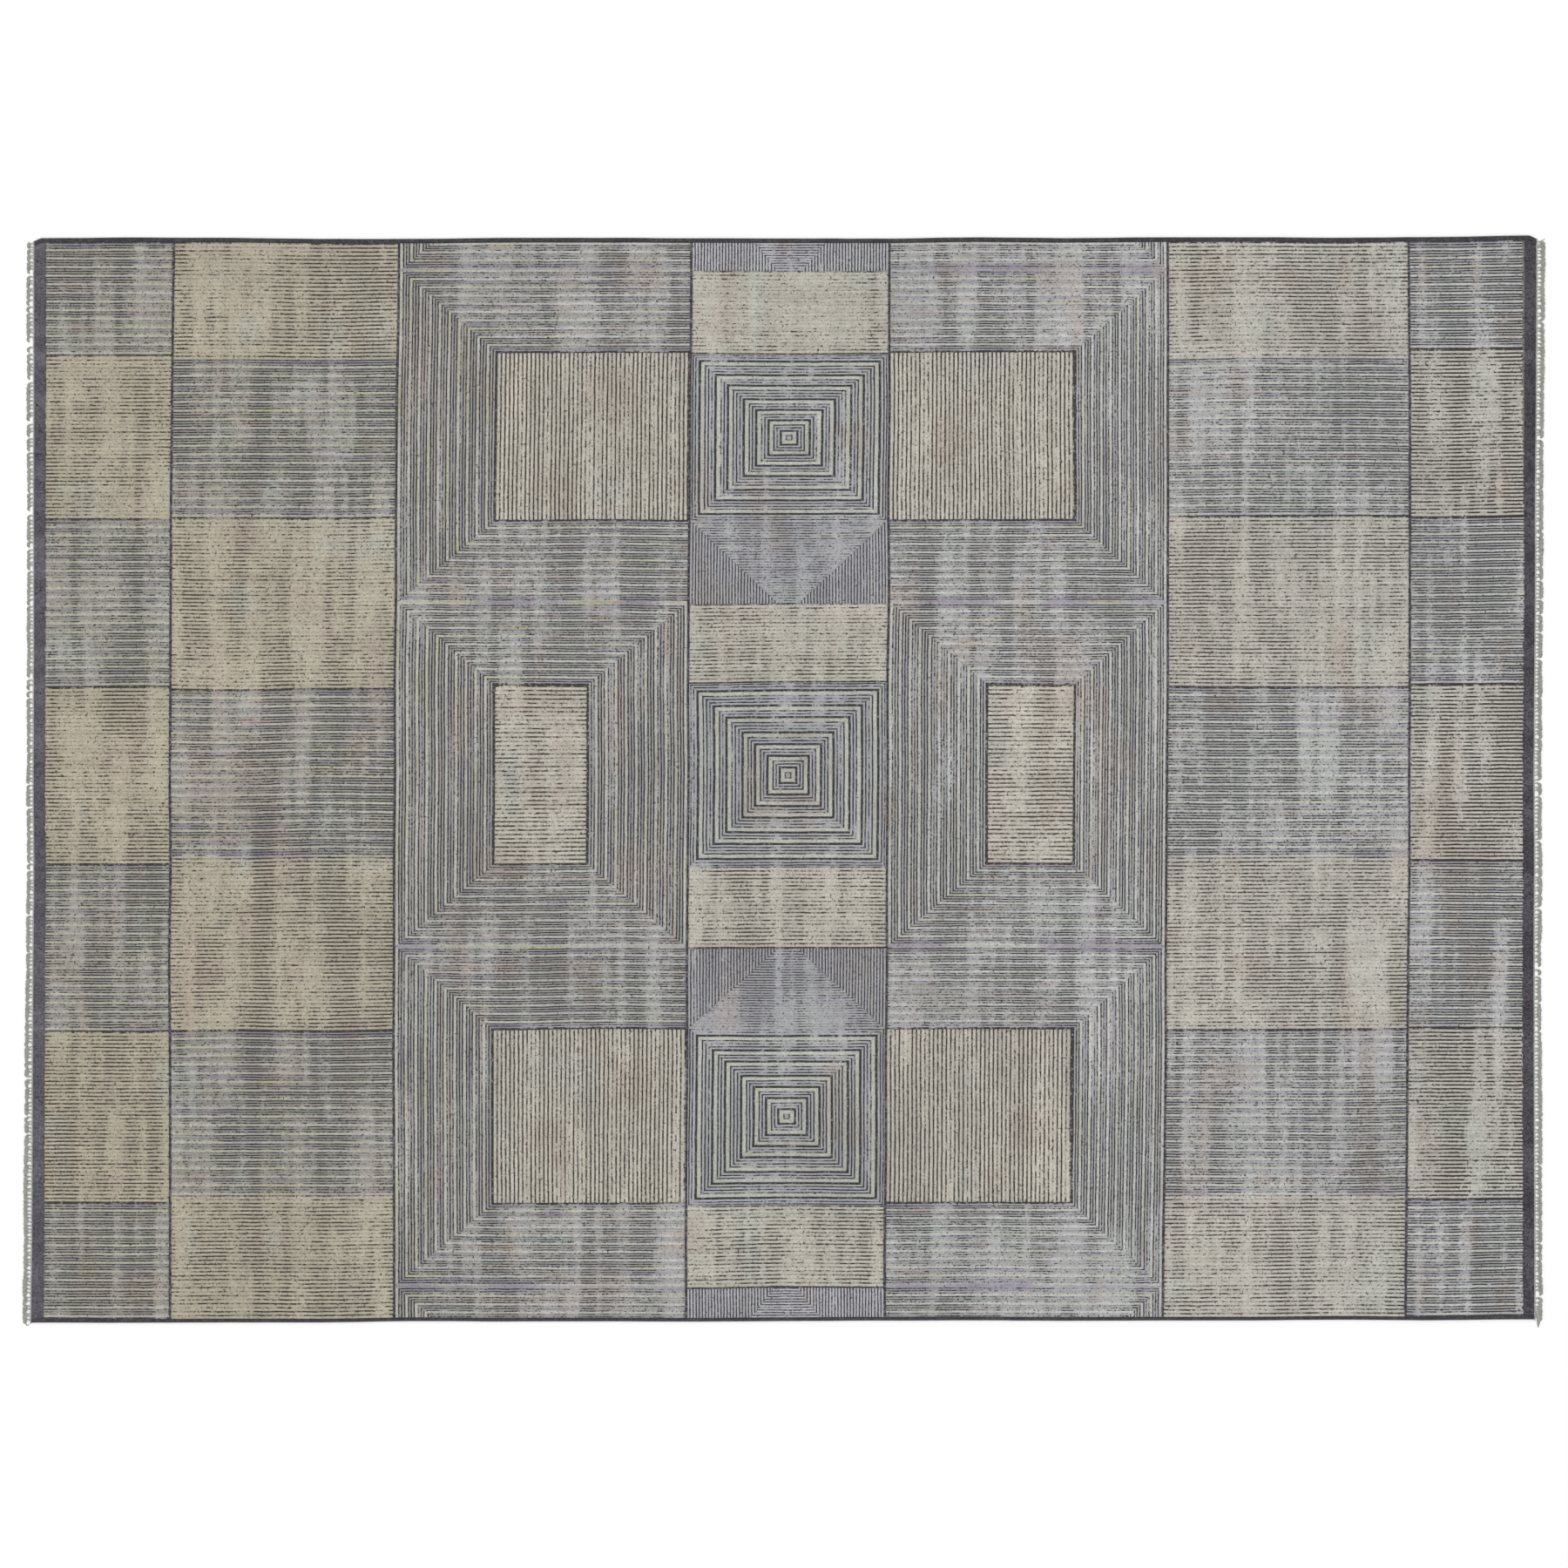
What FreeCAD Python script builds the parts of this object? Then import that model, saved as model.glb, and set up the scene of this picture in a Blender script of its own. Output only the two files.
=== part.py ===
import FreeCAD, Part
import math
import os

import Sketcher

# A hand-knotted area rug, in millimetres.
#
# +X runs along the rug's length, +Y across it and +Z up out of the pile. The origin is the middle of the
# underside. The wool pile stands on a flat woven ground. Its design is seven columns, a to g, from -X to
# +X, with a dark line between two columns, and each column is a stack of fields counted from +Y.
#
# Fields are counted in knots, as on a knotter's chart, and the two knot pitches turn knots into lengths. So
# the rug's length and width follow the pitches, and a column may be made wider without moving the others'
# own sizes. The stack of column a sets how many rows the rug has. In every other column one field takes
# the rows that are left, so that all the columns end at the same selvage.

PARTS_FOLDER = "parts"
SHEET_NAME = "sizes"

DRIVING_SIZES = {
    # Pitch of the knots along the rug and across it, and the width of a dark line in knots.
    "knot_along": 3.6,
    "knot_across": 3.6,
    "line_knots": 2,
    # The ground's thickness, and how far the pile and the lower dark lines stand above it.
    "ground_thickness": 2.4,
    "pile_height": 6.6,
    "line_height": 5.0,
    # End band, twined cord and selvage: width, rise above the ground, radius of the two upper edges.
    "band_width": 32.0,
    "band_rise": 2.2,
    "band_round": 0.8,
    "twine_width": 5.0,
    "twine_rise": 1.8,
    "twine_round": 1.4,
    "selvage_width": 13.8,
    "selvage_rise": 4.8,
    "selvage_round": 3.4,
    # Fringe: pitch of the bundles, thickness, and the plan of one strand and the knot at its tip.
    "fringe_pitch": 10.5,
    "fringe_height": 2.4,
    "strand_length": 8.5,
    "strand_width": 3.0,
    "knot_length": 9.0,
    "knot_gap": 0.6,
}

# Knots across each column.
COLUMN_KNOTS = {"a": 99, "b": 173, "c": 226, "d": 153, "e": 215, "f": 187, "g": 90}

# Rows of knots in each field, from +Y. A field given as REST takes the rows that are left.
REST = None
CHECKED_ROWS = {
    "a": [88, 128, 131, 138, 131, 134, 89],
    "b": [91, 124, 134, 131, 136, 128, REST],
    "f": [91, 123, 134, 133, 135, 129, REST],
    "g": [84, 131, 131, 138, 131, 134, REST],
}
CHECKED_COLOURS = {
    "a": ("grey", "sand"),
    "b": ("sand", "grey"),
    "f": ("sand", "grey"),
    "g": ("grey", "sand"),
}
# Columns c and e: a gap, a block, a gap, a block, a gap, a block and a gap.
FRAMED_ROWS = {
    "c": [86, 130, 130, 139, 130, 135, REST],
    "e": [86, 130, 130, 139, 130, 135, REST],
}
# Knots of the frame beside the blocks, on the side of the rug's end and on the side of column d.
FRAME_KNOTS = {
    "c": {"outer": 77, "inner": 78},
    "e": {"outer": 72, "inner": 77},
}
CENTRE_FIELDS = [
    ("strip", 22),
    ("sand", 65),
    ("squares", 130),
    ("chevron", 65),
    ("sand", 62),
    ("squares", 144),
    ("sand", 64),
    ("chevron", 62),
    ("squares", 139),
    ("sand", REST),
    ("strip", 22),
]

doc = FreeCAD.newDocument("area_rug")
sheet = doc.addObject("Spreadsheet::Sheet", SHEET_NAME)
sub_parts = []


# ---------------------------------------------------------------- the sheet of driving sizes


def row_alias(column, index):
    return f"rows_{column}_{index + 1}"


def stacks_of_rows():
    """Each column's rows, with REST where a field takes what is left."""
    stacks = dict(CHECKED_ROWS)
    stacks.update(FRAMED_ROWS)
    stacks["d"] = [rows for _, rows in CENTRE_FIELDS]
    return stacks


def fill_sheet():
    """One row of the sheet for each driving size: its name in A, its value in B under the same alias."""
    values = dict(DRIVING_SIZES)
    for column, knots in COLUMN_KNOTS.items():
        values[f"knots_{column}"] = knots
    for column, sides in FRAME_KNOTS.items():
        for side, knots in sides.items():
            values[f"frame_{column}_{side}"] = knots
    for column, stack in stacks_of_rows().items():
        for index, rows in enumerate(stack):
            if rows is not REST:
                values[row_alias(column, index)] = rows
    for line, (alias, value) in enumerate(values.items(), start=1):
        sheet.set(f"A{line}", alias)
        sheet.set(f"B{line}", str(value))
        sheet.setAlias(f"B{line}", alias)
    doc.recompute()


def cell(alias):
    return f"{SHEET_NAME}.{alias}"


def total(terms):
    return "(" + " + ".join(terms) + ")" if terms else "0"


# ---------------------------------------------------------------- where knots and rows lie


def knots_before(column):
    """Knots from the pile's -X end to this column's own first knot."""
    terms = []
    for name in COLUMN_KNOTS:
        if name == column:
            break
        terms += [cell(f"knots_{name}"), cell("line_knots")]
    return total(terms)


def all_knots():
    lines = len(COLUMN_KNOTS) - 1
    return total([cell(f"knots_{name}") for name in COLUMN_KNOTS] + [f"{lines} * {cell('line_knots')}"])


def all_rows():
    return total([cell(row_alias("a", index)) for index in range(len(CHECKED_ROWS["a"]))])


def rows_of(column, index):
    """Rows in one field. The field that takes the rest has the rug's rows less the others'."""
    stack = stacks_of_rows()[column]
    if stack[index] is not REST:
        return cell(row_alias(column, index))
    others = [cell(row_alias(column, i)) for i in range(len(stack)) if i != index]
    return f"({all_rows()} - {total(others)})"


def rows_before(column, index):
    return total([rows_of(column, i) for i in range(index)])


def x_at(knots):
    """The X of a place counted in knots from the pile's -X end."""
    return f"({knots} - {all_knots()} / 2) * {cell('knot_along')}"


def y_at(rows):
    """The Y of a place counted in rows from the pile's +Y edge."""
    return f"({all_rows()} / 2 - {rows}) * {cell('knot_across')}"


def pile_length():
    return f"{all_knots()} * {cell('knot_along')}"


def pile_width():
    return f"{all_rows()} * {cell('knot_across')}"


# ---------------------------------------------------------------- shapes


def keep(feature, name):
    """Marks an object of the document as a sub-part, under the name of its file."""
    feature.Label = name
    sub_parts.append(feature)
    return feature


def pile_box(name, first_knot, knots, first_row, rows, height_alias="pile_height"):
    """A block of pile on the ground: knots along X from first_knot, rows across from first_row."""
    box = doc.addObject("Part::Box", name)
    box.setExpression("Length", f"{knots} * {cell('knot_along')}")
    box.setExpression("Width", f"{rows} * {cell('knot_across')}")
    box.setExpression("Height", cell(height_alias))
    box.setExpression(".Placement.Base.x", x_at(first_knot))
    box.setExpression(".Placement.Base.y", y_at(f"({first_row} + {rows})"))
    box.setExpression(".Placement.Base.z", cell("ground_thickness"))
    return box


def origin_plane(body, role):
    for feature in body.Origin.OriginFeatures:
        if feature.Role == role:
            return feature
    raise RuntimeError(f"{body.Name} has no {role}")


def new_sketch(body, plane_role):
    sketch = body.newObject("Sketcher::SketchObject", body.Name + "_sketch")
    sketch.AttachmentSupport = [(origin_plane(body, plane_role), "")]
    sketch.MapMode = "FlatFace"
    return sketch


def bind(sketch, name, constraint, expression):
    """Adds a dimension to a sketch and binds it to the sheet."""
    index = sketch.addConstraint(constraint)
    sketch.renameConstraint(index, name)
    sketch.setExpression(f"Constraints.{name}", expression)


def pad(body, sketch, length, midplane):
    feature = body.newObject("PartDesign::Pad", body.Name + "_pad")
    feature.Profile = sketch
    feature.Midplane = midplane
    feature.setExpression("Length", length)
    return feature


def rounded_strip(name, plane_role, width, height, radius, run):
    """A long strip with a flat foot and two rounded top edges, drawn as its cross-section and padded both
    ways from the origin plane. The foot is centred on the sketch's upright axis."""
    body = doc.addObject("PartDesign::Body", name)
    sketch = new_sketch(body, plane_role)
    # A first drawing of about the right shape, which the dimensions below then size.
    half, top, corner = 5.0, 4.0, 1.0
    shoulder = top - corner
    point, normal = FreeCAD.Vector, FreeCAD.Vector(0, 0, 1)
    right_circle = Part.Circle(point(half - corner, shoulder, 0), normal, corner)
    left_circle = Part.Circle(point(corner - half, shoulder, 0), normal, corner)
    sketch.addGeometry(Part.LineSegment(point(-half, 0, 0), point(half, 0, 0)))
    sketch.addGeometry(Part.LineSegment(point(half, 0, 0), point(half, shoulder, 0)))
    sketch.addGeometry(Part.ArcOfCircle(right_circle, 0, math.pi / 2))
    sketch.addGeometry(Part.LineSegment(point(half - corner, top, 0), point(corner - half, top, 0)))
    sketch.addGeometry(Part.ArcOfCircle(left_circle, math.pi / 2, math.pi))
    sketch.addGeometry(Part.LineSegment(point(-half, shoulder, 0), point(-half, 0, 0)))
    for constraint in (
        Sketcher.Constraint("Coincident", 0, 2, 1, 1),
        Sketcher.Constraint("Coincident", 5, 2, 0, 1),
        Sketcher.Constraint("Tangent", 1, 2, 2, 1),
        Sketcher.Constraint("Tangent", 2, 2, 3, 1),
        Sketcher.Constraint("Tangent", 3, 2, 4, 1),
        Sketcher.Constraint("Tangent", 4, 2, 5, 1),
        Sketcher.Constraint("Symmetric", 0, 1, 0, 2, -2),
        Sketcher.Constraint("PointOnObject", 0, 1, -1),
        Sketcher.Constraint("Vertical", 1),
        Sketcher.Constraint("Vertical", 5),
        Sketcher.Constraint("Horizontal", 3),
        Sketcher.Constraint("Equal", 2, 4),
    ):
        sketch.addConstraint(constraint)
    bind(sketch, "strip_width", Sketcher.Constraint("DistanceX", 0, 1, 0, 2, 2 * half), width)
    bind(sketch, "strip_height", Sketcher.Constraint("DistanceY", 0, 2, 3, 1, top), height)
    bind(sketch, "strip_round", Sketcher.Constraint("Radius", 2, corner), radius)
    pad(body, sketch, run, True)
    return keep(body, name)


# ---------------------------------------------------------------- sub-parts


def make_ground():
    """The woven sheet of warps and wefts that the knots are tied to. It carries on under the end bands."""
    body = doc.addObject("PartDesign::Body", "ground")
    sketch = new_sketch(body, "XY_Plane")
    half_length, half_width = 20.0, 10.0
    corners = [
        FreeCAD.Vector(-half_length, -half_width, 0),
        FreeCAD.Vector(half_length, -half_width, 0),
        FreeCAD.Vector(half_length, half_width, 0),
        FreeCAD.Vector(-half_length, half_width, 0),
    ]
    for index, corner in enumerate(corners):
        sketch.addGeometry(Part.LineSegment(corner, corners[(index + 1) % 4]))
    for index in range(4):
        sketch.addConstraint(Sketcher.Constraint("Coincident", index, 2, (index + 1) % 4, 1))
    sketch.addConstraint(Sketcher.Constraint("Horizontal", 0))
    sketch.addConstraint(Sketcher.Constraint("Horizontal", 2))
    sketch.addConstraint(Sketcher.Constraint("Vertical", 1))
    sketch.addConstraint(Sketcher.Constraint("Vertical", 3))
    sketch.addConstraint(Sketcher.Constraint("Symmetric", 0, 1, 2, 1, -1, 1))
    length = Sketcher.Constraint("DistanceX", 0, 1, 0, 2, 2 * half_length)
    width = Sketcher.Constraint("DistanceY", 1, 1, 1, 2, 2 * half_width)
    bind(sketch, "ground_length", length, f"{pile_length()} + 2 * {cell('band_width')}")
    bind(sketch, "ground_width", width, pile_width())
    pad(body, sketch, cell("ground_thickness"), False)
    keep(body, "ground_weave")


def make_end_strips():
    """At each end: the flat dark band woven on the ground, then the light twined cord that locks it."""
    band_centre = f"({pile_length()} / 2 + {cell('band_width')} / 2)"
    twine_centre = f"({pile_length()} / 2 + {cell('band_width')} + {cell('twine_width')} / 2)"
    rug_width = f"{pile_width()} + 2 * {cell('selvage_width')}"
    for end, side in (("left", -1), ("right", 1)):
        band = rounded_strip(
            f"end_band_{end}",
            "XZ_Plane",
            cell("band_width"),
            cell("band_rise"),
            cell("band_round"),
            pile_width(),
        )
        band.setExpression(".Placement.Base.x", f"{side} * {band_centre}")
        band.setExpression(".Placement.Base.z", cell("ground_thickness"))
        twine = rounded_strip(
            f"twined_cord_{end}",
            "XZ_Plane",
            cell("twine_width"),
            f"{cell('ground_thickness')} + {cell('twine_rise')}",
            cell("twine_round"),
            rug_width,
        )
        twine.setExpression(".Placement.Base.x", f"{side} * {twine_centre}")


def make_selvages():
    """The overcast cords along both long edges, from end band to end band."""
    centre = f"({pile_width()} / 2 + {cell('selvage_width')} / 2)"
    run = f"{pile_length()} + 2 * {cell('band_width')}"
    for edge, side in (("far", 1), ("near", -1)):
        selvage = rounded_strip(
            f"selvage_{edge}",
            "YZ_Plane",
            cell("selvage_width"),
            f"{cell('ground_thickness')} + {cell('selvage_rise')}",
            cell("selvage_round"),
            run,
        )
        selvage.setExpression(".Placement.Base.y", f"{side} * {centre}")


def make_fringes():
    """At each end, a row of warp bundles. A bundle is a short strand with a flat knot at its tip."""
    strand_length = sheet.get("strand_length")
    strand_half = sheet.get("strand_width") / 2
    tip = strand_length + sheet.get("knot_length")
    pitch = sheet.get("fringe_pitch")
    knot_half = (pitch - sheet.get("knot_gap")) / 2
    columns = sum(sheet.get(f"knots_{name}") for name in COLUMN_KNOTS)
    knots = columns + (len(COLUMN_KNOTS) - 1) * sheet.get("line_knots")
    rows = sum(sheet.get(row_alias("a", index)) for index in range(len(CHECKED_ROWS["a"])))
    root = knots * sheet.get("knot_along") / 2 + sheet.get("band_width") + sheet.get("twine_width")
    rug_width = rows * sheet.get("knot_across") + 2 * sheet.get("selvage_width")
    count = int(rug_width // pitch)
    plan = [
        FreeCAD.Vector(0, -strand_half, 0),
        FreeCAD.Vector(strand_length, -strand_half, 0),
        FreeCAD.Vector(strand_length, -knot_half, 0),
        FreeCAD.Vector(tip, -knot_half, 0),
        FreeCAD.Vector(tip, knot_half, 0),
        FreeCAD.Vector(strand_length, knot_half, 0),
        FreeCAD.Vector(strand_length, strand_half, 0),
        FreeCAD.Vector(0, strand_half, 0),
    ]
    outline = Part.makePolygon(plan + plan[:1])
    bundle = Part.Face(outline).extrude(FreeCAD.Vector(0, 0, sheet.get("fringe_height")))
    for end, turn in (("left", 180), ("right", 0)):
        bundles = []
        for index in range(count):
            copy = bundle.copy()
            copy.translate(FreeCAD.Vector(root, (index - (count - 1) / 2) * pitch, 0))
            bundles.append(copy)
        fringe = doc.addObject("Part::Feature", f"fringe_{end}")
        fringe.Shape = Part.makeCompound(bundles)
        facing = FreeCAD.Rotation(FreeCAD.Vector(0, 0, 1), turn)
        fringe.Placement = FreeCAD.Placement(FreeCAD.Vector(), facing)
        keep(fringe, f"fringe_{end}")


def make_column_lines():
    """The dark lines between the columns, in pile sheared lower than the rest."""
    lines = []
    for column in list(COLUMN_KNOTS)[1:]:
        first = f"({knots_before(column)} - {cell('line_knots')})"
        lines.append(pile_box(f"line_{column}", first, cell("line_knots"), "0", all_rows(), "line_height"))
    group = doc.addObject("Part::Compound", "column_lines")
    group.Links = lines
    keep(group, "column_lines")


def make_checked_columns():
    """Columns a, b, f and g: stacks of plain fields in two colours by turns."""
    for column, stack in CHECKED_ROWS.items():
        for index in range(len(stack)):
            colour = CHECKED_COLOURS[column][index % 2]
            name = f"pile_{column}{index + 1}_{colour}"
            field = pile_box(
                name,
                knots_before(column),
                cell(f"knots_{column}"),
                rows_before(column, index),
                rows_of(column, index),
            )
            keep(field, name)


def block_span(column, number):
    """First knot and knots of a block. The middle block is framed on both sides, and the others reach the
    line beside column d."""
    outer, inner = cell(f"frame_{column}_outer"), cell(f"frame_{column}_inner")
    width, start = cell(f"knots_{column}"), knots_before(column)
    if number == 2:
        first_frame = outer if column == "c" else inner
        return f"({start} + {first_frame})", f"({width} - {outer} - {inner})"
    if column == "c":
        return f"({start} + {outer})", f"({width} - {outer})"
    return start, f"({width} - {outer})"


def make_framed_columns():
    """Columns c and e: three blocks, each in a frame that meets the next one halfway along the gap."""
    for column, stack in FRAMED_ROWS.items():
        frame_start = "0"
        for number in (1, 2, 3):
            index = 2 * number - 1
            first_knot, knots = block_span(column, number)
            block_start, block_rows = rows_before(column, index), rows_of(column, index)
            if number < 3:
                frame_end = f"({rows_before(column, index + 1)} + {rows_of(column, index + 1)} / 2)"
            else:
                frame_end = all_rows()
            block_name, frame_name = f"pile_{column}{number}_block", f"pile_{column}{number}_frame"
            keep(pile_box(block_name, first_knot, knots, block_start, block_rows), block_name)
            whole = pile_box(
                f"{frame_name}_whole",
                knots_before(column),
                cell(f"knots_{column}"),
                frame_start,
                f"({frame_end} - {frame_start})",
            )
            opening = pile_box(f"{frame_name}_opening", first_knot, knots, block_start, block_rows)
            frame = doc.addObject("Part::Cut", frame_name)
            frame.Base = whole
            frame.Tool = opening
            keep(frame, frame_name)
            frame_start = frame_end


def make_centre_column():
    """Column d: squares, chevrons and plain fields between two short strips, which share one node."""
    counts = {}
    strips = []
    for index, (kind, _) in enumerate(CENTRE_FIELDS):
        counts[kind] = counts.get(kind, 0) + 1
        name = f"pile_d{counts[kind]}_{kind}"
        first_row, rows = rows_before("d", index), rows_of("d", index)
        field = pile_box(name, knots_before("d"), cell("knots_d"), first_row, rows)
        if kind == "strip":
            strips.append(field)
        else:
            keep(field, name)
    group = doc.addObject("Part::Compound", "pile_d_strips")
    group.Links = strips
    keep(group, "pile_d_strips")


# ---------------------------------------------------------------- checks and files


def check_document():
    """Stops the macro if an object failed or a sub-part has no sound shape."""
    for item in doc.Objects:
        if {"Invalid", "Error"} & set(item.State):
            raise RuntimeError(f"{item.Label} did not recompute: {item.State}")
    for item in sub_parts:
        if item.Shape.isNull() or not item.Shape.isValid() or not item.Shape.Solids:
            raise RuntimeError(f"{item.Label} has no valid solid")


def write_parts():
    os.makedirs(PARTS_FOLDER, exist_ok=True)
    for item in sub_parts:
        item.Shape.exportStep(os.path.join(PARTS_FOLDER, item.Label + ".step"))


def report():
    box = FreeCAD.BoundBox()
    for item in sub_parts:
        box.add(item.Shape.BoundBox)
    print(f"{len(sub_parts)} sub-parts, {box.XLength:.1f} x {box.YLength:.1f} x {box.ZLength:.1f} mm")
    print(f"x {box.XMin:.2f} to {box.XMax:.2f}, y {box.YMin:.2f} to {box.YMax:.2f}, z from {box.ZMin:.3f}")


fill_sheet()
make_ground()
make_end_strips()
make_selvages()
make_fringes()
make_column_lines()
make_checked_columns()
make_framed_columns()
make_centre_column()
doc.recompute()
check_document()
write_parts()
report()
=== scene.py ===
"""A hand-knotted wool rug: low pile in striped fields, dark kilim ends, overcast sides and a knotted fringe.

Each field of the pile is its own mesh. Its dark rows are cut as grooves between raised ribs, and every
vertex carries the colour of its yarn and how dark the row is there. Lengths are in millimetres up to
the point where a mesh is made.
"""
import math

import bpy
import numpy as np
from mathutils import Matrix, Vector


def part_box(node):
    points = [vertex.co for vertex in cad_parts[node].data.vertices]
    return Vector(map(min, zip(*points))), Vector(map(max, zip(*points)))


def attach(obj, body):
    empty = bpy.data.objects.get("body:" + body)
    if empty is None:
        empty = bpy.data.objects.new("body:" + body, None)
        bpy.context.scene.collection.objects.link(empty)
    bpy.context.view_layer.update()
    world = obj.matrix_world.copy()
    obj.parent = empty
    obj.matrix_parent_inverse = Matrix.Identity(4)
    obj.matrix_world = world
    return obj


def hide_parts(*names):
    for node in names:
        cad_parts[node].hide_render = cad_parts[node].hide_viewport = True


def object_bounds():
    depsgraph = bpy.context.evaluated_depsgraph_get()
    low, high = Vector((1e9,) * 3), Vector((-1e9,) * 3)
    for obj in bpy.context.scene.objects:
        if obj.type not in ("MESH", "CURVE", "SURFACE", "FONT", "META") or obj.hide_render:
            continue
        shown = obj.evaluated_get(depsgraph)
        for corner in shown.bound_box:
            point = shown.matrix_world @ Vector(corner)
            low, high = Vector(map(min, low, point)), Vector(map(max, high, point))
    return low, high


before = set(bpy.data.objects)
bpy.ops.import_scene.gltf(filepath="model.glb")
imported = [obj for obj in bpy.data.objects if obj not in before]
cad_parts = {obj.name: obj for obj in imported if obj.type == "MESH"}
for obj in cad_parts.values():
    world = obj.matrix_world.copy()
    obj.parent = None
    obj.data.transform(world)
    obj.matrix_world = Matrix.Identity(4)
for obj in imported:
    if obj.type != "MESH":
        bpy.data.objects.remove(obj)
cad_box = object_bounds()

MM = 0.001


def box_mm(node):
    """The lowest and highest corner of a CAD node, in millimetres."""
    low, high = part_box(node)
    return np.array(low) / MM, np.array(high) / MM


# ---------------------------------------------------------------- sizes

KNOT = 3.6
HALF_LENGTH = cad_box[1][0] / MM
HALF_WIDTH = cad_box[1][1] / MM
PILE_TOP = box_mm("pile_a1_grey")[1][2]
PILE_END = box_mm("pile_g1_grey")[1][0]

# The pile's relief: how far apart its points lie along a row, how wide a groove's slope is, how far a
# rib's crown stands up, how deep a dark row sinks, and how far rows sway sideways and up and down.
# KNOT_STRAY is how far knots stray from the grid.
ALONG_STEP = 7.2
SOFT_EDGE = 0.5
RIB_CROWN = 0.6
GROOVE_DEPTH = 2.0
ROW_SWAY = 0.7
ROW_RIPPLE = 0.25
KNOT_STRAY = 2.4

# Half-widths of the centre column's chevrons at their narrow end, and of its end strips at both ends.
CHEVRON_NARROW = 27
STRIP_WIDE = 98
STRIP_NARROW = 33

# The kilim's rib pitch, the overcast wool's and the twine's turns, and the fringe bundles' pitch.
KILIM_RIB = 5.2
OVERCAST_TURN = 5.0
TWINE_TURN = 9.0
FRINGE_PITCH = 10.5

# What repeats across a field, as widths in millimetres. A "row" is dark and a "bold" one darker and
# wider. The rest are ribs of lighter wool.
REPEATS = {
    "sand": [(6.9, "wide"), (3.9, "row")],
    "dense": [(6.4, "wide"), (4.4, "row")],
    "grey": [(6.8, "wide"), (3.5, "row"), (3.7, "narrow"), (3.5, "row"), (3.7, "narrow"), (3.5, "row")],
    "frame": [(3.4, "row"), (3.7, "narrow"), (3.4, "row"), (3.7, "narrow"), (3.4, "row"), (6.9, "wide")],
    "block": [(7.9, "wide"), (4.0, "row")],
    "level": [(4.2, "wide"), (3.0, "row")],
    "upright": [(5.0, "wide"), (3.6, "row")],
}

# The squares, from their outline to their middle. A bold ring has a pale rib inside it, then three or
# two thin rows.
THREE_ROWS = [(6.6, "bold"), (10.2, "wide")] + 2 * [(3.8, "row"), (5.6, "narrow")]
THREE_ROWS += [(3.8, "row"), (5.0, "narrow")]
TWO_ROWS = [(6.6, "bold"), (10.2, "wide"), (3.8, "row"), (4.8, "narrow"), (3.8, "row"), (5.0, "narrow")]
OUTER_ROWS = [(2.2, "narrow"), (3.6, "row"), (4.0, "narrow"), (3.6, "row"), (6.0, "narrow")]
CORE = [(6.0, "bold"), (10.8, "wide"), (3.0, "row"), (6.0, "narrow")]
REPEATS["squares"] = OUTER_ROWS + THREE_ROWS + TWO_ROWS + THREE_ROWS + 3 * TWO_ROWS + CORE

# ---------------------------------------------------------------- colours

LIGHT_GAIN = 1.1


def yarn(red, green, blue):
    """A wool colour as it should look under the scene's light, from 0 to 255, as a linear albedo."""
    display = np.array([red, green, blue], float) / 255
    linear = np.where(display <= 0.04045, display / 12.92, ((display + 0.055) / 1.055) ** 2.4)
    return linear / LIGHT_GAIN


# Ribs at the left and the right end of the rug. The wool turns cooler from left to right.
WOOLS = {
    ("sand", "wide"): (yarn(184, 176, 156), yarn(192, 189, 181)),
    ("pale", "wide"): (yarn(192, 188, 177), yarn(192, 188, 177)),
    ("block", "wide"): (yarn(195, 189, 177), yarn(197, 192, 182)),
    ("grey", "wide"): (yarn(180, 177, 164), yarn(192, 192, 189)),
    ("grey", "narrow"): (yarn(156, 152, 146), yarn(178, 178, 181)),
    ("frame", "wide"): (yarn(184, 182, 173), yarn(196, 196, 194)),
    ("frame", "narrow"): (yarn(160, 157, 155), yarn(182, 182, 186)),
    ("squares", "wide"): (yarn(188, 188, 181), yarn(188, 188, 181)),
    ("squares", "narrow"): (yarn(174, 174, 177), yarn(174, 174, 177)),
    ("chevron", "wide"): (yarn(171, 171, 175), yarn(171, 171, 175)),
    ("strip", "wide"): (yarn(186, 185, 190), yarn(186, 185, 190)),
}
OLIVE = yarn(180, 181, 150)
LILAC = yarn(150, 142, 158)
BLUSH = yarn(178, 162, 150)
TEAL = yarn(152, 162, 162)
PALE = yarn(184, 190, 182)

# How much of each tint the ribs of a field take.
TINTS = {
    "sand": 0.08,
    "pale": 0.08,
    "block": 0.12,
    "grey": 0.6,
    "frame": 0.75,
    "squares": 0.3,
    "chevron": 0.2,
    "strip": 0.1,
}

# Presence is how dark the rows are on average. Zones and dashes are how much that changes along a row.
ROWS = {
    "sand": dict(presence=0.48, zones=0.54, dashes=0.3),
    "pale": dict(presence=0.46, zones=0.5, dashes=0.3),
    "block": dict(presence=0.59, zones=0.45, dashes=0.42),
    "grey": dict(presence=0.58, zones=0.62, dashes=0.3),
    "frame": dict(presence=0.6, zones=0.6, dashes=0.3),
    "squares": dict(presence=0.66, zones=0.5, dashes=0.4),
    "chevron": dict(presence=0.5, zones=0.7, dashes=0.3),
    "strip": dict(presence=0.85, zones=0.5, dashes=0.3),
}

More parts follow.
